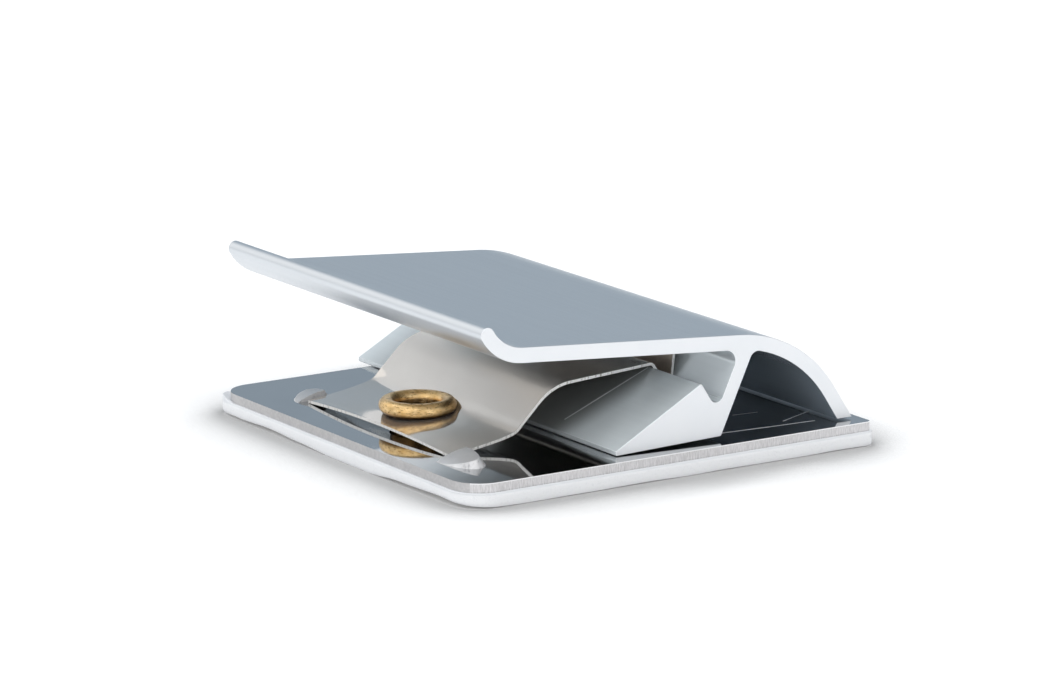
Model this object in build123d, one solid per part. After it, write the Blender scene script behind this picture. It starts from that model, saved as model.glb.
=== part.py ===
from build123d import *
import math
import os

# base stack, sizes in mm
plate_side = 50.0
plate_thick = 1.0
lip_corner = 3.4
tail_corner = 0.6
pad_thick = 1.5
pad_margin = 0.3
liner_thick = 0.1
pad_relief = 0.5

# lever extrusion
lever_length = 50.4
lever_shift = 2.2
wall = 1.6
top_height = 11.53
top_tilt = 4.4
lip_inset = 2.75
lip_radius = 5.2
lip_sweep = 55.0
arch_radius = 15.0
tail_angle = 57.0
tail_inset = 1.1
tail_gap = 0.2

# rocking foot under the lever, placed from the tail's edge of the plate
pivot_inset = 31.0
pivot_gap = 0.15
pivot_face = 0.4
foot_angle = 28.4
hook_reach = 10.6
hook_angle = 57.0
channel_radius = 0.85
heel_reach = 13.2
heel_gap = 0.6
web_angle = 65.0
hook_round = 0.2
toe_round = 0.12
heel_round = 0.2
web_round_back = 1.0
web_round_front = 1.2

# leaf spring
spring_width = 28.0
spring_thick = 0.3
spring_front = 4.6
step_reach = 4.8
step_rise = 3.15
step_angle = 44.0
shoulder_radius = 6.0
crown_angle = 3.5
crown_radius = 0.55
crown_gap = 0.1
curl_angle = 84.0
curl_rise = 3.0
curl_fit = 0.08

# spring's seat from its front to the step: rise of the edges and camber
seat_gap = 0.02
seat_strips = 12
front_angle = 5.0
front_camber = 0.52
middle_rise = 0.28
middle_camber = 0.6
rivet_rise = 0.65
rivet_camber = 0.4
bend_reach = 2.0
bend_rise = 1.03
bend_camber = 0.12
kick_reach = 3.2
kick_rise = 1.45
kick_camber = 0.02
step_camber = 0.01
step_below = 0.85
step_above = 0.5

# eyelet
eyelet_inset = 9.6
ring_outer = 8.2
ring_tube = 1.7
ring_height = 1.65
ring_lift = 0.7
barrel_wall = 0.4
barrel_fit = 0.05
spring_hole_fit = 0.2
clinch_width = 1.1
clinch_thick = 0.5

# lanced nibs beside the spring
nib_fit = 0.7
nib_angle = 28.0
nib_taper = 35.0
near_nib_length = 4.4
near_nib_width = 4.8
near_nib_inset = 4.8
far_nib_length = 4.0
far_nib_width = 2.4
far_nib_inset = 5.7

half = plate_side / 2
plate_top = liner_thick + pad_thick + plate_thick
eyelet_x = eyelet_inset - half
ring_mid = (ring_outer - ring_tube) / 2
bore = ring_mid - ring_tube / 2
barrel = bore + barrel_wall
pivot_x = half - pivot_inset


def slope(deg):
    return math.tan(math.radians(deg))


def heading(deg):
    return Vector(math.cos(math.radians(deg)), math.sin(math.radians(deg)))


def meet(p, deg_p, q, deg_q):
    a, b = heading(deg_p), heading(deg_q)
    gap = q - p
    along = (gap.X * b.Y - gap.Y * b.X) / (a.X * b.Y - a.Y * b.X)
    return p + a * along


# corner points of the foot, as (x, height above the plate)
toe = Vector(pivot_x, pivot_gap)
toe_top = Vector(pivot_x, pivot_gap + pivot_face)
hook = toe_top + Vector(hook_reach, hook_reach * slope(foot_angle))
heel = Vector(pivot_x + heel_reach, heel_gap)
web_left = heel + heading(web_angle + 90) * wall
groove = meet(hook, -hook_angle, web_left, web_angle)
groove_half = (180 - hook_angle - web_angle) / 2
groove_axis = (web_angle + 180 - hook_angle) / 2
channel = groove + heading(groove_axis) * (channel_radius / math.sin(math.radians(groove_half)))


# square sheet with wide corners under the lip and narrow ones under the tail
def blank(grow, thick):
    with BuildSketch() as outline:
        Rectangle(plate_side + 2 * grow, plate_side + 2 * grow)
        fillet(outline.vertices().group_by(Axis.X)[0], lip_corner + grow)
        fillet(outline.vertices().group_by(Axis.X)[-1], tail_corner + grow)
    return extrude(outline.sketch, thick)


# tab that rises along X in an arc, with a slanted torn edge on its outer side
def nib(side, length, width, inset):
    radius = length / math.sin(math.radians(nib_angle))
    height = radius * (1 - math.cos(math.radians(nib_angle)))
    with BuildSketch() as ramp:
        with BuildLine():
            rise = CenterArc((length / 2, height - radius), radius, 90, nib_angle)
            Polyline(rise @ 1, (length / 2, 0), rise @ 0)
        make_face()
    wedge = extrude(Plane.XZ * ramp.sketch, width, both=True)
    mound = extrude(Ellipse(length / 2, width), height, taper=nib_taper)
    outside = Pos(0, side * width / 2, height / 2) * Box(length, width, height)
    place = Pos(inset - half, side * (spring_width / 2 + nib_fit), plate_top)
    return place * (wedge & mound & outside)


def base_plate():
    plate = Pos(0, 0, plate_top - plate_thick) * blank(0, plate_thick)
    hole = Pos(eyelet_x, 0, plate_top - plate_thick / 2) * Cylinder(barrel + barrel_fit, plate_thick * 2)
    far_nib = nib(1, far_nib_length, far_nib_width, far_nib_inset)
    near_nib = nib(-1, near_nib_length, near_nib_width, near_nib_inset)
    return plate - hole + far_nib + near_nib


def foam_pad():
    pad = Pos(0, 0, liner_thick) * blank(pad_margin, pad_thick)
    relief = Cylinder(barrel + clinch_width + pad_relief, pad_thick)
    return pad - Pos(eyelet_x, 0, liner_thick + pad_thick / 2) * relief


def release_liner():
    return blank(pad_margin, liner_thick)


# bent sheet of the lever: lip, flat top, arch and straight tail
def lever_sheet():
    h = wall / 2
    up = heading(90 - top_tilt)
    top_mid = Vector(0, top_height) - up * h
    lip_end = 270 - top_tilt - lip_sweep
    lip_x = lip_inset - half + h - lip_radius * heading(lip_end).X
    start_x = lip_x - lip_radius * up.X
    start = Vector(start_x, top_mid.Y - (start_x - top_mid.X) * slope(top_tilt))
    lip = start + up * lip_radius
    tail_out = Vector(half - tail_inset, tail_gap)
    bend = tail_angle - top_tilt
    crest = meet(Vector(0, top_height), -top_tilt, tail_out, -tail_angle)
    outer = arch_radius + h
    crest_start = crest - heading(-top_tilt) * (outer * slope(bend / 2))
    arch = crest_start - up * outer
    tail_in = tail_out - Vector(wall / math.sin(math.radians(tail_angle)), 0)
    tip = lip + heading(lip_end) * lip_radius
    with BuildSketch() as sheet:
        with BuildLine():
            under = CenterArc(lip, lip_radius + h, 270 - top_tilt, -lip_sweep)
            over = CenterArc(lip, lip_radius - h, lip_end, lip_sweep)
            ThreePointArc(under @ 1, tip + heading(lip_end - 90) * h, over @ 0)
            back = CenterArc(arch, outer, 90 - top_tilt, -bend)
            Line(over @ 1, back @ 0)
            inside = CenterArc(arch, arch_radius - h, 90 - tail_angle, bend)
            Polyline(back @ 1, tail_out, tail_in, inside @ 0)
            Line(inside @ 1, under @ 0)
        make_face()
    return sheet.sketch


def lever_profile():
    mid = Vector(0, top_height - wall / 2)
    under = Vector(0, top_height - wall / math.cos(math.radians(top_tilt)))
    web_top = meet(heel, web_angle, mid, -top_tilt)
    inner = meet(web_left, web_angle, under, -top_tilt)
    rim = inner - heading(-top_tilt) * (3 * web_round_front)
    rim_top = meet(rim, 90, mid, -top_tilt)
    rounds = (
        (groove, channel_radius),
        (hook, hook_round),
        (toe, toe_round),
        (heel, heel_round),
        (inner, web_round_front),
    )
    with BuildSketch() as foot:
        with BuildLine():
            Polyline(toe, heel, web_top, rim_top, rim, inner, groove, hook, toe_top, close=True)
        make_face()
        for corner, radius in rounds:
            fillet(foot.vertices().sort_by_distance(corner)[0], radius)
        add(lever_sheet())
        web_back = Line(heel, web_top, mode=Mode.PRIVATE)
        ends = [v for v in foot.vertices() if web_back.distance_to(v) < toe_round]
        fillet(max(ends, key=lambda v: v.Y), web_round_back)
    return foot.sketch


def clip_lever():
    body = extrude(Plane.XZ * lever_profile(), lever_length)
    return Pos(0, lever_shift + lever_length / 2, plate_top) * body


# line along the spring's seat: reach from the eyelet, height and camber
def seat_line():
    front = eyelet_inset - spring_front
    low = spring_thick / 2 + seat_gap
    along = heading(step_angle)
    return Spline(
        (-front, low, front_camber),
        (-front / 2, low + middle_rise, middle_camber),
        (0, low + rivet_rise, rivet_camber),
        (bend_reach, low + bend_rise, bend_camber),
        (kick_reach, low + kick_rise, kick_camber),
        (step_reach - along.X * step_below, step_rise - along.Y * step_below, step_camber),
        (step_reach + along.X * step_above, step_rise + along.Y * step_above, step_camber),
        tangents=(heading(front_angle), along),
    )


# cross-section of the seat, square to its line, bowed up by the camber
def strip_section(spot, along):
    centre = (eyelet_x + spot.X, 0, plate_top + spot.Y)
    plane = Plane(centre, x_dir=(0, 1, 0), z_dir=(along.X, 0, along.Y))
    w = spring_width / 2
    h = spring_thick / 2
    with BuildSketch(plane) as strip:
        with BuildLine():
            ThreePointArc((-w, h), (0, h + spot.Z), (w, h))
            ThreePointArc((-w, -h), (0, spot.Z - h), (w, -h))
            Line((-w, -h), (-w, h))
            Line((w, -h), (w, h))
        make_face()
    return strip.sketch


# centre line of the spring from the step over the hook into the channel
def spring_path():
    start = Vector(eyelet_x + step_reach, step_rise) + heading(step_angle) * step_above
    stand_off = spring_thick / 2 + curl_fit
    crown_end = hook + Vector(0, stand_off + crown_gap)
    shoulder = meet(start, step_angle, crown_end, crown_angle)
    dive = hook + heading(90 - hook_angle) * stand_off
    brow = meet(crown_end, crown_angle, dive, -hook_angle)
    curl = channel_radius - stand_off
    rise = channel + heading(curl_angle - 90) * curl
    turn = shoulder_radius * slope((step_angle - crown_angle) / 2)
    nose = crown_radius * slope((crown_angle + hook_angle) / 2)
    a = shoulder - heading(step_angle) * turn
    b = shoulder + heading(crown_angle) * turn
    c = brow - heading(crown_angle) * nose
    d = brow + heading(-hook_angle) * nose
    hub_a = a + heading(step_angle - 90) * shoulder_radius
    hub_c = c + heading(crown_angle - 90) * crown_radius
    with BuildLine() as path:
        Line(start, a)
        CenterArc(hub_a, shoulder_radius, 90 + step_angle, crown_angle - step_angle)
        Line(b, c)
        CenterArc(hub_c, crown_radius, 90 + crown_angle, -crown_angle - hook_angle)
        Line(d, channel + heading(-hook_angle - 90) * curl)
        CenterArc(channel, curl, 270 - hook_angle, hook_angle + curl_angle)
        Line(rise, rise + heading(curl_angle) * curl_rise)
    return path.line


def leaf_spring():
    line = seat_line()
    shares = [k / seat_strips for k in range(seat_strips + 1)]
    seat = loft([strip_section(line @ t, line % t) for t in shares], ruled=True)
    blade = extrude(Plane.XZ * trace(spring_path(), spring_thick), spring_width / 2, both=True)
    hole = Pos(eyelet_x, 0, plate_top) * Cylinder(barrel + spring_hole_fit, 2 * step_rise)
    return seat + Pos(0, 0, plate_top) * blade - hole


def eyelet(spring):
    ring_z = seat_gap + spring_thick + rivet_rise + rivet_camber + ring_lift
    low = -plate_thick - clinch_thick
    with BuildSketch(Plane.XZ) as cut:
        with Locations((ring_mid, ring_z)):
            Ellipse(ring_tube / 2, ring_height / 2)
        with Locations(((bore + barrel) / 2, (ring_z + low) / 2)):
            Rectangle(barrel_wall, ring_z - low)
        with Locations((bore + (barrel_wall + clinch_width) / 2, low + clinch_thick / 2)):
            Rectangle(barrel_wall + clinch_width, clinch_thick)
    ring = revolve(cut.sketch, Axis.Z)
    return Pos(eyelet_x, 0, plate_top) * ring - spring


os.makedirs("parts", exist_ok=True)
spring_solid = leaf_spring()
export_step(base_plate(), "parts/base_plate.step")
export_step(foam_pad(), "parts/foam_pad.step")
export_step(release_liner(), "parts/release_liner.step")
export_step(clip_lever(), "parts/clip_lever.step")
export_step(spring_solid, "parts/leaf_spring.step")
export_step(eyelet(spring_solid), "parts/eyelet.step")
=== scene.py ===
import math

import bmesh
import bpy
from mathutils import Matrix, Vector, noise


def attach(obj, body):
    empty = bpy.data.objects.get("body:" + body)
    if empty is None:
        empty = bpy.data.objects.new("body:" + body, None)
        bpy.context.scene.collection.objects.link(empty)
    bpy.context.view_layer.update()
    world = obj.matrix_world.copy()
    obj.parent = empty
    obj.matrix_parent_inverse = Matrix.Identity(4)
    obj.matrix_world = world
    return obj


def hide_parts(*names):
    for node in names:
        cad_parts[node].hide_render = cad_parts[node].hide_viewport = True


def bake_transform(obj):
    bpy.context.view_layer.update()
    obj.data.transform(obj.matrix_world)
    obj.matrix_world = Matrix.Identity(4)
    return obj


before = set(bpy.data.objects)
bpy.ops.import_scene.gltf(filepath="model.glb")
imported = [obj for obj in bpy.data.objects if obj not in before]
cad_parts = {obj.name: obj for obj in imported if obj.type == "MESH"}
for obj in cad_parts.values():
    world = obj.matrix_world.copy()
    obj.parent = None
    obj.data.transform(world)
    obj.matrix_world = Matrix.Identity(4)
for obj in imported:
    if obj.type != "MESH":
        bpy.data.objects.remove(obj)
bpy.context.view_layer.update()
scene = bpy.context.scene
scene.view_settings.view_transform = "Standard"
mm = 0.001
plateTop = 2.6  # height of the plate's upper face, mm
maskRange = (0.3, 0.7)  # noise values between which a plain grain mask rises
scratchAndHighlightDulling = 0.5  # roughness that a scratch or a painted highlight line adds
print("frame loaded:", sorted(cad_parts))


# node helpers

def addNode(tree, kind, inputs=None, **props):
    node = tree.nodes.new(kind)
    for key, value in props.items():
        setattr(node, key, value)
    for key, value in (inputs or {}).items():
        if isinstance(value, bpy.types.NodeSocket):
            tree.links.new(value, node.inputs[key])
        else:
            node.inputs[key].default_value = value
    return node


def addMath(tree, operation, a, b, **props):
    return addNode(tree, "ShaderNodeMath", {0: a, 1: b}, operation=operation, **props).outputs[0]


def makeGroup(name, kind, sockets):
    group = bpy.data.node_groups.new(name, kind)
    for label, way, socketType, value in sockets:
        socket = group.interface.new_socket(name=label, in_out=way, socket_type=socketType)
        if value is not None:
            socket.default_value = value
    return group, group.nodes.new("NodeGroupInput"), group.nodes.new("NodeGroupOutput")


def makeGrain():
    group, source, result = makeGroup("grain", "ShaderNodeTree", (
        ("Stretch", "INPUT", "NodeSocketVector", (1000, 1000, 1000)),
        ("Low", "INPUT", "NodeSocketFloat", 0.35),
        ("High", "INPUT", "NodeSocketFloat", 0.65),
        ("Mask", "OUTPUT", "NodeSocketFloat", None),
    ))
    coords = addNode(group, "ShaderNodeTexCoord")
    spread = addNode(group, "ShaderNodeVectorMath", {
        0: coords.outputs["Object"], 1: source.outputs["Stretch"]}, operation="MULTIPLY")
    cloud = addNode(group, "ShaderNodeTexNoise", {
        "Vector": spread.outputs[0], "Scale": 1.0, "Detail": 3.0, "Roughness": 0.6})
    mask = addNode(group, "ShaderNodeMapRange", {
        "Value": cloud.outputs["Fac"], "From Min": source.outputs["Low"],
        "From Max": source.outputs["High"]})
    group.links.new(mask.outputs["Result"], result.inputs["Mask"])
    return group


# soft step along one direction
def makeLevel():
    group, source, result = makeGroup("level", "ShaderNodeTree", (
        ("Way", "INPUT", "NodeSocketVector", (0, 0, 1)),
        ("Low", "INPUT", "NodeSocketFloat", 0.0),
        ("High", "INPUT", "NodeSocketFloat", 0.001),
        ("Mask", "OUTPUT", "NodeSocketFloat", None),
    ))
    coords = addNode(group, "ShaderNodeTexCoord")
    place = addNode(group, "ShaderNodeVectorMath", {
        0: coords.outputs["Object"], 1: source.outputs["Way"]}, operation="DOT_PRODUCT")
    mask = addNode(group, "ShaderNodeMapRange", {
        "Value": place.outputs["Value"], "From Min": source.outputs["Low"],
        "From Max": source.outputs["High"]}, interpolation_type="SMOOTHSTEP")
    group.links.new(mask.outputs["Result"], result.inputs["Mask"])
    return group


# thin mark along a straight line
def makeScratchAndHighlightLine():
    group, source, result = makeGroup("scratchAndHighlightLine", "ShaderNodeTree", (
        ("Start", "INPUT", "NodeSocketVector", (0, 0, 0)),
        ("End", "INPUT", "NodeSocketVector", (0.01, 0, 0)),
        ("Width", "INPUT", "NodeSocketFloat", 0.0002),
        ("Mask", "OUTPUT", "NodeSocketFloat", None),
    ))

    def vector(operation, a, b):
        return addNode(group, "ShaderNodeVectorMath", {0: a, 1: b}, operation=operation)

    place = addNode(group, "ShaderNodeTexCoord").outputs["Object"]
    reach = vector("SUBTRACT", place, source.outputs["Start"]).outputs["Vector"]
    line = vector("SUBTRACT", source.outputs["End"], source.outputs["Start"]).outputs["Vector"]
    along = addMath(group, "DIVIDE", vector("DOT_PRODUCT", reach, line).outputs["Value"],
                    vector("DOT_PRODUCT", line, line).outputs["Value"], use_clamp=True)
    foot = addNode(group, "ShaderNodeVectorMath", {0: line, "Scale": along}, operation="SCALE")
    off = addNode(group, "ShaderNodeVectorMath", {
        0: vector("SUBTRACT", reach, foot.outputs["Vector"]).outputs["Vector"]},
        operation="LENGTH")
    mask = addNode(group, "ShaderNodeMapRange", {
        "Value": off.outputs["Value"], "From Max": source.outputs["Width"],
        "To Min": 1.0, "To Max": 0.0}, interpolation_type="SMOOTHSTEP")
    group.links.new(mask.outputs["Result"], result.inputs["Mask"])
    return group


grainGroup = makeGrain()
levelGroup = makeLevel()
scratchAndHighlightGroup = makeScratchAndHighlightLine()


def placeMask(tree, group, **values):
    return addNode(tree, "ShaderNodeGroup", values, node_tree=group).outputs["Mask"]


def grain(tree, stretch, low, high):
    return placeMask(tree, grainGroup, Stretch=stretch, Low=low, High=high)


def level(tree, low, high, way=(0, 0, 1)):
    return placeMask(tree, levelGroup, Way=way, Low=low * mm, High=high * mm)


def scratchAndHighlightLine(tree, start, end, width):
    return placeMask(tree, scratchAndHighlightGroup, Start=[v * mm for v in start],
                     End=[v * mm for v in end], Width=width * mm)


def mixColor(tree, mask, first, second):
    node = addNode(tree, "ShaderNodeMix", data_type="RGBA")
    for key, value in (("Factor", mask), ("A", first), ("B", second)):
        socket = next(s for s in node.inputs if s.name == key and s.enabled)
        if isinstance(value, bpy.types.NodeSocket):
            tree.links.new(value, socket)
        else:
            socket.default_value = value if key == "Factor" else (*value, 1)
    return next(s for s in node.outputs if s.enabled)


# rub marks and painted highlight lines change the colour, the gloss and the metal
def addScratchesAndHighlights(tree, shader, look, color, gloss):
    marks = None
    for start, end, width in look["scratchesAndHighlights"]:
        mark = scratchAndHighlightLine(tree, start, end, width)
        marks = mark if marks is None else addMath(tree, "MAXIMUM", marks, mark)
    color = mixColor(tree, marks, color, look["scratchAndHighlightColor"])
    dull = addMath(tree, "MULTIPLY", marks, scratchAndHighlightDulling)
    gloss = addMath(tree, "ADD", gloss, dull)
    bare = addMath(tree, "SUBTRACT", look["metallic"], marks)
    tree.links.new(bare, shader.inputs["Metallic"])
    return color, gloss


# a surface whose colour, gloss and height follow grain masks, with the marks that its look names
def makeSurface(name, look):
    material = bpy.data.materials.new(name)
    material.use_nodes = True
    tree = material.node_tree
    shader = tree.nodes["Principled BSDF"]
    shader.inputs["Metallic"].default_value = look["metallic"]
    patches = grain(tree, look["patchStretch"], *maskRange)
    fine = grain(tree, look["fineStretch"], *look.get("fineRange", maskRange))
    color = mixColor(tree, patches, look["color"], look["patchColor"])
    if "levelColor" in look:
        color = mixColor(tree, level(tree, *look["level"]), look["levelColor"], color)
    # painted shade: darker between two levels along one way
    if "paintedShadeColor" in look:
        near, far = [level(tree, *edge, look["shadeWay"]) for edge in look["shadeEdges"]]
        color = mixColor(tree, addMath(tree, "MULTIPLY", near, far), color, look["paintedShadeColor"])
    if "fineColor" in look:
        color = mixColor(tree, fine, color, look["fineColor"])
    if "rimColor" in look:
        color = mixColor(tree, level(tree, *look["rim"]), color, look["rimColor"])
    smoothest, roughest = look["roughness"]
    gloss = addNode(tree, "ShaderNodeMapRange", {
        "Value": fine, "To Min": smoothest, "To Max": roughest}).outputs["Result"]
    if "scratchesAndHighlights" in look:
        color, gloss = addScratchesAndHighlights(tree, shader, look, color, gloss)
    tree.links.new(color, shader.inputs["Base Color"])
    tree.links.new(gloss, shader.inputs["Roughness"])
    bump = addNode(tree, "ShaderNodeBump", {
        "Height": fine, "Strength": look["bump"], "Distance": look["depth"] * mm})
    tree.links.new(bump.outputs["Normal"], shader.inputs["Normal"])
    return material


# mesh helpers

def setMaterials(mesh, *materials):
    mesh.materials.clear()
    for material in materials:
        mesh.materials.append(material)


# one material for each finish of a piece, and the place of each in the mesh
def addFinishes(mesh, look):
    shared = look.get("shared", {})
    setMaterials(mesh, *[makeSurface(name, {**shared, **look[finish]})
                         for finish, name in look["finishes"].items()])
    return {finish: place for place, finish in enumerate(look["finishes"])}


def addPiece(name, mesh):
    piece = bpy.data.objects.new(name, mesh)
    scene.collection.objects.link(piece)
    return piece


# plain mesh in place of a piece with modifiers
def settle(piece):
    graph = bpy.context.evaluated_depsgraph_get()
    graph.update()
    mesh = bpy.data.meshes.new_from_object(piece.evaluated_get(graph), depsgraph=graph)
    bare = addPiece(piece.name + "Mesh", mesh)
    name = piece.name
    bpy.data.objects.remove(piece)
    bare.name = name
    return bare


def smoothUnder(mesh, degrees):
    mesh.shade_smooth()
    mesh.set_sharp_from_angle(angle=math.radians(degrees))


# lever: merged copy of the extrusion with broken edges, satin skin and bright sawn ends

leverLook = {
    # welding distance, then angles in degrees
    "weld": 0.0005, "flatten": 0.5, "smooth": 30, "bevel": 0.07, "bevelSegments": 2,
    "bevelFrom": 35,
    # worn sole: the boxes that hold the toe's and the heel's corners, and how far these sink
    "toe": ((-6.1, -5.8, 2.874), 0.09), "heel": ((6.5, 8.0, 3.45), 0.2), "heelAngle": 65.0,
    # the spring's channel: reach along x and height
    "channel": (-16.5, 10.0, 14.5),
    # limits of a face's normal that tell the finishes apart
    "endward": 0.9, "lipward": -0.1, "ceiling": -0.95, "slopeRise": 0.7, "archRise": 0.3,
    "downward": -0.9,
    "finishes": {"skin": "satinSkin", "sawn": "sawnEnd", "slope": "dullSkin",
                 "under": "lightenedUnderSkin", "channelWall": "channelSkin", "archInside": "archSkin"},
    "shared": {
        "patchStretch": (1600, 40, 1600), "fineStretch": (5200, 2600, 5200),
        "bump": 0.02, "depth": 0.02,
    },
    "skin": {
        "metallic": 1.0, "color": (0.69, 0.72, 0.75), "patchColor": (0.665, 0.695, 0.725),
        "roughness": (0.30, 0.36),
    },
    "sawn": {
        "metallic": 0.4, "color": (0.87, 0.895, 0.925), "patchColor": (0.89, 0.91, 0.935),
        "patchStretch": (200, 200, 200), "fineStretch": (3200, 3200, 3200),
        "roughness": (0.45, 0.52), "bump": 0.08,
    },
    # painted shade where the spring shades the slope, with a painted highlight line along that
    # shade's edge; the slope's light colour is partly painted light at the toe
    "slope": {
        "metallic": 0.35, "color": (0.85, 0.92, 0.95), "patchColor": (0.82, 0.89, 0.92),
        "roughness": (0.29, 0.34),
        # painted shade: darker between these levels, where the spring shades the slope
        "shadeEdges": ((-17.0, -12.0), (29.0, 12.0)), "shadeWay": (0.25, 1, 0),
        "paintedShadeColor": (0.29, 0.31, 0.315), "scratchAndHighlightColor": (0.86, 0.90, 0.92),
        # painted highlight: a bright line along the edge of the spring's shade
        "scratchesAndHighlights": (((-4.5, -11.4, 3.96), (4.3, -13.6, 8.72), 0.14),),
    },
    # painted light: a lighter copy of the skin under the top, for the bright floor that it
    # reflects
    "under": {
        "metallic": 1.0, "color": (0.80, 0.825, 0.85), "patchColor": (0.77, 0.795, 0.82),
        "roughness": (0.30, 0.36),
    },
    "channelWall": {
        "metallic": 0.35, "color": (0.70, 0.755, 0.785), "patchColor": (0.67, 0.725, 0.755),
        "roughness": (0.15, 0.2),
    },
    # painted shade: a darker, bluer copy of the skin inside the arch's hollow
    "archInside": {
        "metallic": 0.45, "color": (0.42, 0.49, 0.56), "patchColor": (0.40, 0.47, 0.54),
        "roughness": (0.15, 0.2),
    },
}


def sinkSole(shape):
    (toeStart, toeEnd, toeTop), toeSink = leverLook["toe"]
    (heelStart, heelEnd, heelTop), heelSink = leverLook["heel"]
    low = min(v.co.z for v in shape.verts)
    for vert in shape.verts:
        x, z = vert.co.x / mm, vert.co.z / mm
        if toeStart < x < toeEnd and z < toeTop:
            vert.co.z -= toeSink * mm * (toeTop - z) / (toeTop - low / mm)
        elif heelStart < x < heelEnd and z < heelTop:
            vert.co.z -= heelSink * mm
            vert.co.x -= heelSink * mm / math.tan(math.radians(leverLook["heelAngle"]))


def leverFinish(middle, way):
    look = leverLook
    start, end, height = [v * mm for v in look["channel"]]
    if abs(way.y) > look["endward"]:
        return "sawn"
    inChannel = start < middle.x < end and middle.z < height
    if inChannel and way.x < look["lipward"] and way.z > look["ceiling"]:
        return "slope" if way.z > look["slopeRise"] else "channelWall"
    if middle.x > end and way.x < 0 and way.z < look["archRise"]:
        return "archInside"
    return "under" if way.z < look["downward"] else "skin"


def makeLever():
    look = leverLook
    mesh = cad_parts["clip_lever"].data.copy()
    places = addFinishes(mesh, look)
    shape = bmesh.new()
    shape.from_mesh(mesh)
    bmesh.ops.remove_doubles(shape, verts=shape.verts, dist=look["weld"] * mm)
    bmesh.ops.dissolve_limit(shape, angle_limit=math.radians(look["flatten"]),
                             verts=shape.verts, edges=shape.edges)
    shape.normal_update()
    bmesh.ops.recalc_face_normals(shape, faces=shape.faces)
    sinkSole(shape)
    for face in shape.faces:
        face.material_index = places[leverFinish(face.calc_center_median(), face.normal)]
    shape.to_mesh(mesh)
    shape.free()
    piece = addPiece("leverBody", mesh)
    smoothUnder(mesh, look["smooth"])
    bevel = piece.modifiers.new("brokenEdges", "BEVEL")
    bevel.width = look["bevel"] * mm
    bevel.segments = look["bevelSegments"]
    bevel.limit_method = "ANGLE"
    bevel.angle_limit = math.radians(look["bevelFrom"])
    bevel.harden_normals = True
    piece = settle(piece)
    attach(piece, "lever")
    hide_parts("clip_lever")


makeLever()
print("lever made")


# plate: mirror faces, grained cut edges and torn nibs

plateLook = {
    "steep": 0.3, "slant": 0.75,  # upright and slanted faces, by their normal
    "nibFrom": 0.001,  # height over the plate's face where the nibs begin
    "finishes": {"mirror": "mirrorSteel", "cut": "cutSteel", "torn": "tornSteel",
                 "shadedSide": "shadedSideSteel", "pressed": "pressedSteel"},
    "mirror": {
        "metallic": 1.0, "color": (0.555, 0.565, 0.575), "patchColor": (0.525, 0.535, 0.545),
        "patchStretch": (120, 120, 120), "fineStretch": (900, 900, 900),
        "roughness": (0.025, 0.06), "bump": 0.01, "depth": 0.01,
        # rub marks under the tail: two ends and half width
        "scratchAndHighlightColor": (0.75, 0.77, 0.80),
        "scratchesAndHighlights": (((8.85, -20.7, plateTop), (14.35, -21.2, plateTop), 0.3),
                      ((14.35, -21.2, plateTop), (20.0, -21.6, plateTop), 0.25),
                      ((17.2, -20.0, plateTop), (22.0, -17.9, plateTop), 0.18),
                      ((14.3, -15.0, plateTop), (17.2, -15.3, plateTop), 0.15)),
    },
    "cut": {
        "metallic": 0.7, "color": (0.66, 0.65, 0.66), "patchColor": (0.55, 0.54, 0.545),
        "patchStretch": (260, 260, 260), "fineStretch": (7600, 7600, 1300),
        "fineColor": (0.84, 0.83, 0.84), "fineRange": (0.4, 0.75),
        "level": (1.62, 1.76), "levelColor": (0.45, 0.445, 0.45),  # darker at the lower edge
        "rim": (2.46, 2.54), "rimColor": (0.95, 0.95, 0.96),  # painted highlight of a burr along the upper edge
        "roughness": (0.32, 0.5), "bump": 0.35, "depth": 0.05,
    },
    # the nibs' broken sides
    "torn": {
        "metallic": 0.25, "color": (0.80, 0.80, 0.81), "patchColor": (0.66, 0.66, 0.67),
        "patchStretch": (900, 900, 900), "fineStretch": (3600, 3600, 1200),
        "fineColor": (0.45, 0.46, 0.48), "fineRange": (0.55, 0.8),
        "roughness": (0.3, 0.6), "bump": 0.7, "depth": 0.12,
    },
    # painted shade: the cut edge on the lip's side is a darker, duller copy of the others
    "shadedSide": {
        "metallic": 0.7, "color": (0.47, 0.465, 0.47), "patchColor": (0.54, 0.53, 0.53),
        "patchStretch": (300, 700, 300), "fineStretch": (2600, 2600, 2600),
        "fineColor": (0.62, 0.61, 0.61), "fineRange": (0.45, 0.8),
        "roughness": (0.36, 0.5), "bump": 0.25, "depth": 0.05,
    },
    # the nibs' tops
    "pressed": {
        "metallic": 0.75, "color": (0.66, 0.66, 0.67), "patchColor": (0.60, 0.60, 0.61),
        "patchStretch": (700, 700, 700), "fineStretch": (2600, 900, 2600),
        "roughness": (0.29, 0.36), "bump": 0.1, "depth": 0.03,
    },
}


def plateFinish(middle, way):
    look = plateLook
    if middle.z > (plateTop + look["nibFrom"]) * mm:
        return "torn" if way.z < look["slant"] else "pressed"
    # painted shade: the lip's side gets the darker copy of the cut edge
    if way.x < -look["slant"]:
        return "shadedSide"
    return "cut" if abs(way.z) < look["steep"] else "mirror"


def dressPlate():
    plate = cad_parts["base_plate"]
    places = addFinishes(plate.data, plateLook)
    for face in plate.data.polygons:
        face.material_index = places[plateFinish(face.center, face.normal)]


dressPlate()
print("plate dressed")


# spring: strip swept along a bent line by Geometry Nodes

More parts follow.
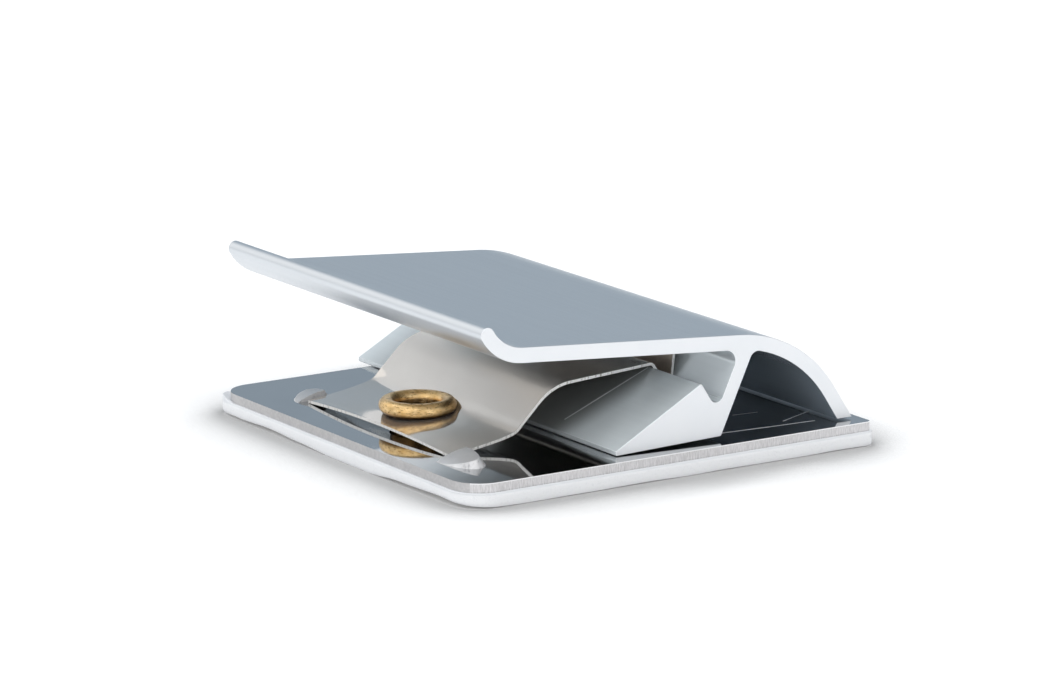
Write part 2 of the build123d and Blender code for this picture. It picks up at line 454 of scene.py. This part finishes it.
springLook = {
    "width": 28.0, "thick": 0.3, "rows": 420, "across": 41, "weld": 0.001, "smooth": 35,
    "jag": 0.02, "jagGrain": 6000.0,  # depth and fineness of the sheared edge's jags
    "hole": 3.0, "eyeletX": -15.4, "drillSides": 96, "drillLength": 6.0,
    # reach from the eyelet, height above the plate and camber of the seat
    "seat": ((-5.0, 0.17, 0.52), (-2.5, 0.45, 0.6), (0.0, 0.82, 0.4), (2.0, 1.2, 0.12),
             (3.2, 1.62, 0.02), (4.189, 2.56, 0.01), (5.16, 3.497, 0.01)),
    "seatAngle": 5.0, "stepAngle": 44.0, "seatSteps": 14,
    # straight lengths, then bend radius and turn in degrees
    "blade": ((1.171, 6.0, -40.5), (9.952, 0.55, -60.5), (2.115, 0.62, 141.0), (3.0, 0, 0)),
    "bendStep": 4,  # degrees from point to point in a bend
    "bendFrom": (-12.5, 0, 3.0), "bendTo": (4.4, 0, 3.0),
    "strip": {
        "metallic": 0.85, "color": (0.755, 0.715, 0.67), "patchColor": (0.725, 0.685, 0.64),
        "patchStretch": (160, 160, 160), "fineStretch": (700, 2600, 700),
        "roughness": (0.05, 0.1), "bump": 0.01, "depth": 0.01,
    },
    "curlShare": 0.86,  # share of the line's length where the curl's painted shade begins
    # painted shade: a darker brown copy of the strip on the curl, down in the lever's channel
    "shadedCurl": {
        "metallic": 0.4, "color": (0.40, 0.34, 0.29), "patchColor": (0.33, 0.28, 0.24),
        "patchStretch": (900, 900, 900), "fineStretch": (2600, 2600, 2600),
        "roughness": (0.3, 0.42), "bump": 0.05, "depth": 0.02,
    },
    "sheared": {
        "metallic": 0.25, "color": (0.92, 0.91, 0.89), "patchColor": (0.86, 0.84, 0.81),
        "patchStretch": (300, 300, 300), "fineStretch": (4600, 4600, 900),
        "fineColor": (0.34, 0.32, 0.30), "fineRange": (0.54, 0.7),
        "roughness": (0.3, 0.5), "bump": 0.4, "depth": 0.05,
    },
}


# smooth line through points, with its slope set at both ends
def hermite(points, startAngle, endAngle, steps):
    slopes = []
    for k in range(len(points)):
        a, b = points[max(k - 1, 0)], points[min(k + 1, len(points) - 1)]
        slopes.append([(q - p) / (b[0] - a[0]) for p, q in zip(a, b)])
    slopes[0][1] = math.tan(math.radians(startAngle))
    slopes[-1][1] = math.tan(math.radians(endAngle))
    slopes[-2][1] = slopes[-1][1]
    line = []
    for k in range(len(points) - 1):
        a, b = points[k], points[k + 1]
        span = b[0] - a[0]
        for i in range(steps):
            t = i / steps
            h = (2 * t**3 - 3 * t**2 + 1, t**3 - 2 * t**2 + t, 3 * t**2 - 2 * t**3, t**3 - t**2)
            line.append([h[0] * a[n] + h[1] * span * slopes[k][n] + h[2] * b[n]
                         + h[3] * span * slopes[k + 1][n] for n in range(3)])
    return line + [list(points[-1])]


def springLine():
    look = springLook
    line = hermite(look["seat"], look["seatAngle"], look["stepAngle"], look["seatSteps"])
    x, z = line[-1][:2]
    angle = math.radians(look["stepAngle"])
    for length, radius, turn in look["blade"]:
        x, z = x + length * math.cos(angle), z + length * math.sin(angle)
        line.append([x, z, 0])
        steps = max(1, round(abs(turn) / look["bendStep"]))
        for _ in range(steps if radius else 0):
            chord = 2 * radius * math.sin(math.radians(abs(turn)) / steps / 2)
            angle += math.radians(turn) / steps / 2
            x, z = x + chord * math.cos(angle), z + chord * math.sin(angle)
            angle += math.radians(turn) / steps / 2
            line.append([x, z, 0])
    return line


def makeStripTree():
    tree, source, result = makeGroup("bentStrip", "GeometryNodeTree", (
        ("Geometry", "INPUT", "NodeSocketGeometry", None),
        ("Width", "INPUT", "NodeSocketFloat", 0.02),
        ("Thickness", "INPUT", "NodeSocketFloat", 0.0003),
        ("Jag", "INPUT", "NodeSocketFloat", 0.0),
        ("Jag Grain", "INPUT", "NodeSocketFloat", 5000.0),
        ("Rows", "INPUT", "NodeSocketInt", 100),
        ("Across", "INPUT", "NodeSocketInt", 21),
        ("Weld", "INPUT", "NodeSocketFloat", 0.000001),
        ("Hole Radius", "INPUT", "NodeSocketFloat", 0.003),
        ("Hole Place", "INPUT", "NodeSocketVector", (0, 0, 0)),
        ("Drill Sides", "INPUT", "NodeSocketInt", 64),
        ("Drill Length", "INPUT", "NodeSocketFloat", 0.005),
        ("Curl Share", "INPUT", "NodeSocketFloat", 0.9),
        ("Strip", "INPUT", "NodeSocketMaterial", None),
        ("Curl", "INPUT", "NodeSocketMaterial", None),
        ("Cut", "INPUT", "NodeSocketMaterial", None),
        ("Geometry", "OUTPUT", "NodeSocketGeometry", None),
    ))
    rimFrom = 0.499  # the outermost columns of the grid, which runs from -0.5 to 0.5

    def node(kind, inputs=None, **props):
        return addNode(tree, kind, inputs, **props)

    def calc(operation, a, b=0.0):
        return addMath(tree, operation, a, b)

    ins = source.outputs
    path = node("GeometryNodeMeshToCurve", {"Mesh": ins["Geometry"]})
    grid = node("GeometryNodeMeshGrid", {
        "Size X": 1.0, "Size Y": 1.0, "Vertices X": ins["Rows"], "Vertices Y": ins["Across"]})
    spot = node("ShaderNodeSeparateXYZ", {0: node("GeometryNodeInputPosition").outputs[0]})
    share = calc("ADD", spot.outputs["X"], 0.5)
    camber = node("GeometryNodeInputNamedAttribute", {"Name": "camber"}, data_type="FLOAT")
    sample = node("GeometryNodeSampleCurve", {
        "Curves": path.outputs["Curve"], "Factor": share}, data_type="FLOAT", mode="FACTOR",
        use_all_curves=True)
    tree.links.new(camber.outputs["Attribute"], sample.inputs["Value"])
    # across the strip: camber, half the thickness down, and jags at the rim
    lean = node("ShaderNodeSeparateXYZ", {0: sample.outputs["Tangent"]})
    up = node("ShaderNodeCombineXYZ", {
        "X": calc("MULTIPLY", lean.outputs["Z"], -1.0), "Z": lean.outputs["X"]})
    bow = calc("SUBTRACT", 1.0, calc("POWER", calc("MULTIPLY", spot.outputs["Y"], 2.0), 2.0))
    lift = calc("SUBTRACT", calc("MULTIPLY", bow, sample.outputs["Value"]),
                calc("MULTIPLY", ins["Thickness"], 0.5))
    raised = node("ShaderNodeVectorMath", {0: up.outputs[0], "Scale": lift}, operation="SCALE")
    rough = node("ShaderNodeTexNoise", {
        "Vector": sample.outputs["Position"], "Scale": ins["Jag Grain"], "Detail": 1.0},
        noise_dimensions="3D")
    rim = calc("GREATER_THAN", calc("ABSOLUTE", spot.outputs["Y"]), rimFrom)
    wobble = calc("MULTIPLY", calc("MULTIPLY", rim, ins["Jag"]), rough.outputs["Fac"])
    side = calc("SUBTRACT", calc("MULTIPLY", spot.outputs["Y"], ins["Width"]),
                calc("MULTIPLY", calc("SIGN", spot.outputs["Y"]), wobble))
    out = node("ShaderNodeVectorMath", {
        0: sample.outputs["Position"], 1: raised.outputs[0]}, operation="ADD")
    out = node("ShaderNodeVectorMath", {
        0: out.outputs[0], 1: node("ShaderNodeCombineXYZ", {"Y": side}).outputs[0]},
        operation="ADD")
    curled = node("GeometryNodeStoreNamedAttribute", {
        "Geometry": grid.outputs["Mesh"], "Name": "curled",
        "Value": calc("GREATER_THAN", share, ins["Curl Share"])},
        data_type="BOOLEAN", domain="FACE")
    sheet = node("GeometryNodeSetPosition", {
        "Geometry": curled.outputs[0], "Position": out.outputs[0]})
    # closed sheet metal with the eyelet's hole
    thick = node("GeometryNodeExtrudeMesh", {
        "Mesh": sheet.outputs[0], "Offset Scale": ins["Thickness"], "Individual": False},
        mode="FACES")
    marked = node("GeometryNodeStoreNamedAttribute", {
        "Geometry": thick.outputs["Mesh"], "Name": "cutSide", "Value": thick.outputs["Side"]},
        data_type="BOOLEAN", domain="FACE")
    under = node("GeometryNodeFlipFaces", {"Mesh": sheet.outputs[0]})
    closed = node("GeometryNodeMergeByDistance", {"Distance": ins["Weld"]})
    both = node("GeometryNodeJoinGeometry")
    tree.links.new(marked.outputs[0], both.inputs[0])
    tree.links.new(under.outputs[0], both.inputs[0])
    tree.links.new(both.outputs[0], closed.inputs["Geometry"])
    drill = node("GeometryNodeMeshCylinder", {
        "Vertices": ins["Drill Sides"], "Radius": ins["Hole Radius"],
        "Depth": ins["Drill Length"]})
    drill = node("GeometryNodeTransform", {
        "Geometry": drill.outputs["Mesh"], "Translation": ins["Hole Place"]})
    pierced = node("GeometryNodeMeshBoolean", {"Mesh 1": closed.outputs[0]},
                   operation="DIFFERENCE", solver="EXACT")
    tree.links.new(drill.outputs[0], pierced.inputs["Mesh 2"])
    real = node("GeometryNodeRealizeInstances", {"Geometry": pierced.outputs["Mesh"]})
    faces = node("GeometryNodeSetMaterial", {
        "Geometry": real.outputs[0], "Material": ins["Strip"]})
    for attribute, material in (("curled", "Curl"), ("cutSide", "Cut")):
        chosen = node("GeometryNodeInputNamedAttribute", {"Name": attribute},
                      data_type="BOOLEAN")
        faces = node("GeometryNodeSetMaterial", {
            "Geometry": faces.outputs[0], "Selection": chosen.outputs["Attribute"],
            "Material": ins[material]})
    tree.links.new(faces.outputs[0], result.inputs["Geometry"])
    return tree


def socketId(tree, name):
    return next(s.identifier for s in tree.interface.items_tree
                if s.name == name and s.in_out == "INPUT")


def makeSpring():
    look = springLook
    line = springLine()
    mesh = bpy.data.meshes.new("springLine")
    mesh.from_pydata([((look["eyeletX"] + x) * mm, 0, (plateTop + z) * mm) for x, z, _ in line],
                     [(k, k + 1) for k in range(len(line) - 1)], [])
    camber = mesh.attributes.new("camber", "FLOAT", "POINT")
    for k, row in enumerate(line):
        camber.data[k].value = row[2] * mm
    piece = addPiece("springStrip", mesh)
    tree = makeStripTree()
    modifier = piece.modifiers.new("strip", "NODES")
    modifier.node_group = tree
    values = {
        "Width": look["width"] * mm, "Thickness": look["thick"] * mm, "Jag": look["jag"] * mm,
        "Jag Grain": look["jagGrain"], "Rows": look["rows"], "Across": look["across"],
        "Weld": look["weld"] * mm, "Hole Radius": look["hole"] * mm,
        "Hole Place": (look["eyeletX"] * mm, 0, plateTop * mm),
        "Drill Sides": look["drillSides"], "Drill Length": look["drillLength"] * mm,
        "Curl Share": look["curlShare"],
        "Strip": makeSurface("springSteel", look["strip"]),
        "Curl": makeSurface("shadedCurlSteel", look["shadedCurl"]),
        "Cut": makeSurface("shearedSteel", look["sheared"]),
    }
    for name, value in values.items():
        modifier[socketId(tree, name)] = value
    piece = settle(piece)
    smoothUnder(piece.data, look["smooth"])
    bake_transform(piece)
    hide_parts("leaf_spring")


makeSpring()
print("spring swept")


# brass eyelet

brassLook = {
    "metallic": 1.0, "color": (0.92, 0.67, 0.35), "patchColor": (0.66, 0.42, 0.165),
    "patchStretch": (1100, 1100, 1100), "fineStretch": (2200, 2200, 9000),
    "fineColor": (0.22, 0.11, 0.03), "fineRange": (0.55, 0.70),
    "level": (4.1, 4.5), "levelColor": (0.16, 0.09, 0.03),  # painted shade in the groove under the ring
    "roughness": (0.3, 0.46), "bump": 0.4, "depth": 0.05,
}
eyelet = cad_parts["eyelet"]
setMaterials(eyelet.data, makeSurface("rolledBrass", brassLook))


# foam pad and its liner: soft outline with a wavy lower edge

padLook = {
    "half": 25.3, "lipCorner": 3.7, "farCorner": 2.1, "tailCorner": 0.9,
    "around": 640, "cornerSteps": 24, "smooth": 50,
    "hole": 4.4, "holeX": -15.4, "bottom": 0.1, "top": 1.6, "liner": 0.1,
    # the free corner past the plate's rounded one: where its curl begins and how high it goes
    "plateHalf": 25.0, "plateCorner": 3.4, "raiseFrom": 0.34, "cornerRaise": 0.55,
    # lift of the lower edge along the lip's side: place in y and height, and reach inwards
    "wave": ((-25.3, 0.32), (-20, 0.52), (-12.5, 0.36), (-6, 0.0), (1.3, 0.0),
             (7.5, 0.22), (14, 0.42), (20, 0.25), (25.3, 0.36)),
    "waveReach": 7,
    # lift elsewhere: mean, spread, and scale and layer of its noise
    "uneven": (0.05, 0.07, 0.17, 3.0),
    # loops of the foam's edge: inset, drop from the top, share of the lift and of the raise
    "upperEdge": ((1.5, 0, 0, 0), (0.62, 0, 0, 0), (0.25, 0, 0, 0.8), (0.06, 0, 0, 1),
                  (0.0, 0.06, 0, 1), (0.03, 0.5, 0.2, 0.6), (0.0, 1.0, 0.6, 0.25)),
    # inset, rise from the bottom and share of the lift
    "lowerEdge": ((0.02, 0.15, 0.9), (0.08, -0.05, 1), (0.2, -0.09, 1), (0.34, -0.06, 1),
                  (0.36, 0, 0.97), (0.6, 0, 0.9), (1.6, 0, 0.45), (3.5, 0, 0)),
    # loops of the liner: size of the middle one, then inset and share of the lift
    "linerMiddle": 0.02, "linerEdge": ((3.5, 0), (1.6, 0.45), (0.6, 0.9), (0.4, 0.96)),
    "foam": {
        "metallic": 0.0, "color": (0.80, 0.82, 0.85), "patchColor": (0.76, 0.78, 0.81),
        "patchStretch": (500, 500, 500), "fineStretch": (4200, 4200, 4200),
        "fineColor": (0.84, 0.86, 0.89), "fineRange": (0.52, 0.9),
        "level": (1.3, 1.56), "levelColor": (0.94, 0.955, 0.975),  # painted shade: greyer at the top under the plate's edge, whiter below
        "roughness": (0.75, 0.9), "bump": 0.5, "depth": 0.08,
    },
    "paper": {
        "metallic": 0.0, "color": (0.88, 0.88, 0.87), "patchColor": (0.86, 0.86, 0.84),
        "patchStretch": (150, 150, 150), "fineStretch": (2500, 2500, 2500),
        "roughness": (0.5, 0.6), "bump": 0.1, "depth": 0.02,
    },
}


# rounded square with evenly spaced points
def padOutline():
    look = padLook
    half, corner, points = look["half"], look["cornerSteps"], []
    radii = (look["tailCorner"], look["farCorner"], look["lipCorner"], look["tailCorner"])
    for turn, (sx, sy) in enumerate(((1, 1), (-1, 1), (-1, -1), (1, -1))):
        r = radii[turn]
        for k in range(corner + 1):
            a = math.radians(90 * turn + 90 * k / corner)
            points.append(Vector((sx * (half - r) + r * math.cos(a),
                                  sy * (half - r) + r * math.sin(a))))
    lengths = [0.0]
    for k in range(len(points)):
        lengths.append(lengths[-1] + (points[(k + 1) % len(points)] - points[k]).length)
    even, k = [], 0
    for n in range(look["around"]):
        want = lengths[-1] * n / look["around"]
        while lengths[k + 1] < want:
            k += 1
        t = (want - lengths[k]) / max(lengths[k + 1] - lengths[k], 1e-9)
        even.append(points[k].lerp(points[(k + 1) % len(points)], t))
    return even


# how far the lower edge lifts off the floor
def waveLift(p):
    look = padLook
    mean, spread, scale, layer = look["uneven"]
    lift = mean + spread * noise.noise((p.x * scale, p.y * scale, layer))
    rows, reach = look["wave"], look["waveReach"]
    for (y0, a), (y1, b) in zip(rows, rows[1:]):
        if y0 <= p.y <= y1:
            t = (p.y - y0) / (y1 - y0)
            wave = a + (b - a) * t * t * (3 - 2 * t)
            near = min(1.0, max(0.0, (-p.x - look["half"] + reach) / reach))
            return max(0.0, lift * (1 - near) + wave * near * near)
    return max(0.0, lift)


# how far the foam's free corner curls up past the plate's rounded one
def cornerRaise(p):
    look = padLook
    if p.x > 0 or p.y < 0:
        return 0.0
    core = look["plateHalf"] - look["plateCorner"]
    qx, qy = max(abs(p.x) - core, 0), max(abs(p.y) - core, 0)
    clear = math.hypot(qx, qy) - look["plateCorner"]
    return min(look["cornerRaise"], max(0.0, clear - look["raiseFrom"]))


# closed mesh through loops of equal length, the last joined to the first
def ringMesh(name, rings):
    count = len(rings[0])
    verts = [v for ring in rings for v in ring]
    faces = []
    for r in range(len(rings)):
        a, b = r * count, ((r + 1) % len(rings)) * count
        for k in range(count):
            n = (k + 1) % count
            faces.append((a + k, b + k, b + n, a + n))
    mesh = bpy.data.meshes.new(name)
    mesh.from_pydata([[c * mm for c in v] for v in verts], [], faces)
    shape = bmesh.new()
    shape.from_mesh(mesh)
    bmesh.ops.recalc_face_normals(shape, faces=shape.faces)
    shape.to_mesh(mesh)
    shape.free()
    return mesh


def makePad():
    look = padLook
    outline = padOutline()
    lifts = [waveLift(p) for p in outline]
    raises = [cornerRaise(p) for p in outline]

    def ring(inset, height, share, raised=0.0):
        scale = 1 - inset / look["half"]
        return [(p.x * scale, p.y * scale, height + lift * share + high * raised)
                for p, lift, high in zip(outline, lifts, raises)]

    def hole(height):
        angles = [math.atan2(p.y, p.x - look["holeX"]) for p in outline]
        return [(look["holeX"] + look["hole"] * math.cos(a), look["hole"] * math.sin(a), height)
                for a in angles]

    low, top = look["bottom"], look["top"]
    rings = [hole(top)]
    rings += [ring(inset, top - drop, share, raised)
              for inset, drop, share, raised in look["upperEdge"]]
    rings += [ring(inset, low + rise, share) for inset, rise, share in look["lowerEdge"]]
    rings.append(hole(low))
    pad = addPiece("foamPad", ringMesh("foamPad", rings))
    setMaterials(pad.data, makeSurface("whiteFoam", look["foam"]))
    smoothUnder(pad.data, look["smooth"])
    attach(pad, "base")
    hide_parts("foam_pad")

    thick, middle = look["liner"], look["linerMiddle"]
    rings = [[(p.x * middle, p.y * middle, thick) for p in outline]]
    rings += [ring(inset, thick, share) for inset, share in look["linerEdge"]]
    rings += [ring(inset, 0, share) for inset, share in reversed(look["linerEdge"])]
    rings.append([(x, y, 0) for x, y, _ in rings[0]])
    liner = addPiece("linerPaper", ringMesh("linerPaper", rings))
    setMaterials(liner.data, makeSurface("linerPaper", look["paper"]))
    smoothUnder(liner.data, look["smooth"])
    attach(liner, "base")
    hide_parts("release_liner")


makePad()
print("pad and liner made")


# studio: pale floor under a soft sky, with a grey backdrop and four soft boxes

studio = {
    "floor": 3.0, "floorDrop": 0.02, "floorColor": (0.95, 0.95, 0.95), "floorGlow": 0.12,
    "floorRoughness": 0.9, "floorGloss": 0.1,
    # shade of the floor by how open it is, next to what stands on it
    "reach": 10.0, "openSamples": 8,
    "shade": ((0.4, 0.8), (0.55, 0.40), (0.70, 0.44), (0.823, 0.56), (0.893, 0.68),
              (0.93, 0.79), (0.955, 0.90), (0.975, 1.0)),
    # sky: where front turns to back along y, and where the gain overhead sets in along z
    "backColor": (0.67, 0.695, 0.72), "frontColor": (0.41, 0.41, 0.41), "turnOver": (-0.5, 0.5),
    "topGain": 1.9, "topFrom": (0.6, 0.9),
    # the way to each one's middle, its colour and its outer and inner edge in degrees
    "boxes": (
        ((0.545, 0.825, 0.15), (0.35, 0.42, 0.486), (36.0, 24.0)),  # grey backdrop
        ((-0.45, 0.74, 0.50), (1.16, 1.16, 1.16), (34.0, 8.0)),  # soft box behind the lip
        ((-0.20, -0.62, 0.76), (0.98, 0.98, 0.98), (46.0, 24.0)),  # wide soft box over the front
        ((0.0, -0.95, 0.22), (1.2, 1.2, 1.2), (32.0, 14.0)),  # low soft box in front
        ((-0.95, -0.25, 0.30), (1.35, 1.35, 1.35), (34.0, 16.0)),  # soft box at the lip's side
    ),
}


def makeFloor():
    look = studio
    size = look["floor"]
    mesh = bpy.data.meshes.new("floor")
    mesh.from_pydata([(-size, -size, 0), (size, -size, 0), (size, size, 0), (-size, size, 0)],
                     [], [(0, 1, 2, 3)])
    mesh.transform(Matrix.Translation((0, 0, -look["floorDrop"] * mm)))
    floor = addPiece("floor", mesh)
    material = bpy.data.materials.new("paleFloor")
    material.use_nodes = True
    tree = material.node_tree
    shader = tree.nodes["Principled BSDF"]
    shader.inputs["Roughness"].default_value = look["floorRoughness"]
    shader.inputs["Specular IOR Level"].default_value = look["floorGloss"]
    openness = addNode(tree, "ShaderNodeAmbientOcclusion", {
        "Distance": look["reach"] * mm}, samples=look["openSamples"])
    ramp = addNode(tree, "ShaderNodeValToRGB", {"Fac": openness.outputs["AO"]})
    steps = ramp.color_ramp.elements
    for k, (place, shade) in enumerate(look["shade"]):
        step = steps[k] if k < 2 else steps.new(place)  # a new ramp has two steps
        step.position = place
        step.color = (*[shade * c for c in look["floorColor"]], 1)
    tree.links.new(ramp.outputs["Color"], shader.inputs["Base Color"])
    tree.links.new(ramp.outputs["Color"], shader.inputs["Emission Color"])
    # white for the camera and in reflections, with no more light on the clip
    rays = addNode(tree, "ShaderNodeLightPath").outputs
    seen = addMath(tree, "ADD", rays["Is Camera Ray"], rays["Is Glossy Ray"], use_clamp=True)
    glow = addMath(tree, "MULTIPLY", seen, look["floorGlow"])
    tree.links.new(glow, shader.inputs["Emission Strength"])
    mesh.materials.append(material)


def makeSky():
    look = studio
    world = bpy.data.worlds.new("studioSky")
    scene.world = world
    world.use_nodes = True
    tree = world.node_tree
    sky = tree.nodes["Background"]
    way = addNode(tree, "ShaderNodeTexCoord").outputs["Generated"]
    turn = addNode(tree, "ShaderNodeSeparateXYZ", {0: way})

    def between(value, low, high, **props):
        return addNode(tree, "ShaderNodeMapRange", {
            "Value": value, "From Min": low, "From Max": high}, **props)

    back = between(turn.outputs["Y"], *look["turnOver"], interpolation_type="SMOOTHSTEP")
    color = mixColor(tree, back.outputs["Result"], look["frontColor"], look["backColor"])
    gain = between(turn.outputs["Z"], *look["topFrom"])
    gain.inputs["To Min"].default_value = 1.0
    gain.inputs["To Max"].default_value = look["topGain"]
    for middle, shade, edges in look["boxes"]:
        near = addNode(tree, "ShaderNodeVectorMath", {
            0: way, 1: Vector(middle).normalized()}, operation="DOT_PRODUCT")
        mask = between(near.outputs["Value"], *[math.cos(math.radians(e)) for e in edges],
                       interpolation_type="SMOOTHSTEP")
        color = mixColor(tree, mask.outputs["Result"], color, shade)
    tree.links.new(color, sky.inputs["Color"])
    tree.links.new(gain.outputs["Result"], sky.inputs["Strength"])


makeFloor()
makeSky()
print("studio lit")


# camera at the photograph's view

view = {
    "place": (-0.28530, -0.43448, 0.12970), "aim": (0.53188, 0.81581, -0.22704),
    "lens": 172.9, "sensor": 36, "clip": (0.01, 50),
}
camera = bpy.data.objects.new("camera", bpy.data.cameras.new("camera"))
scene.collection.objects.link(camera)
camera.location = view["place"]
camera.rotation_mode = "QUATERNION"
camera.rotation_quaternion = Vector(view["aim"]).to_track_quat("-Z", "Y")
camera.data.lens = view["lens"]
camera.data.sensor_width = view["sensor"]
camera.data.clip_start, camera.data.clip_end = view["clip"]
scene.camera = camera
print("camera placed")
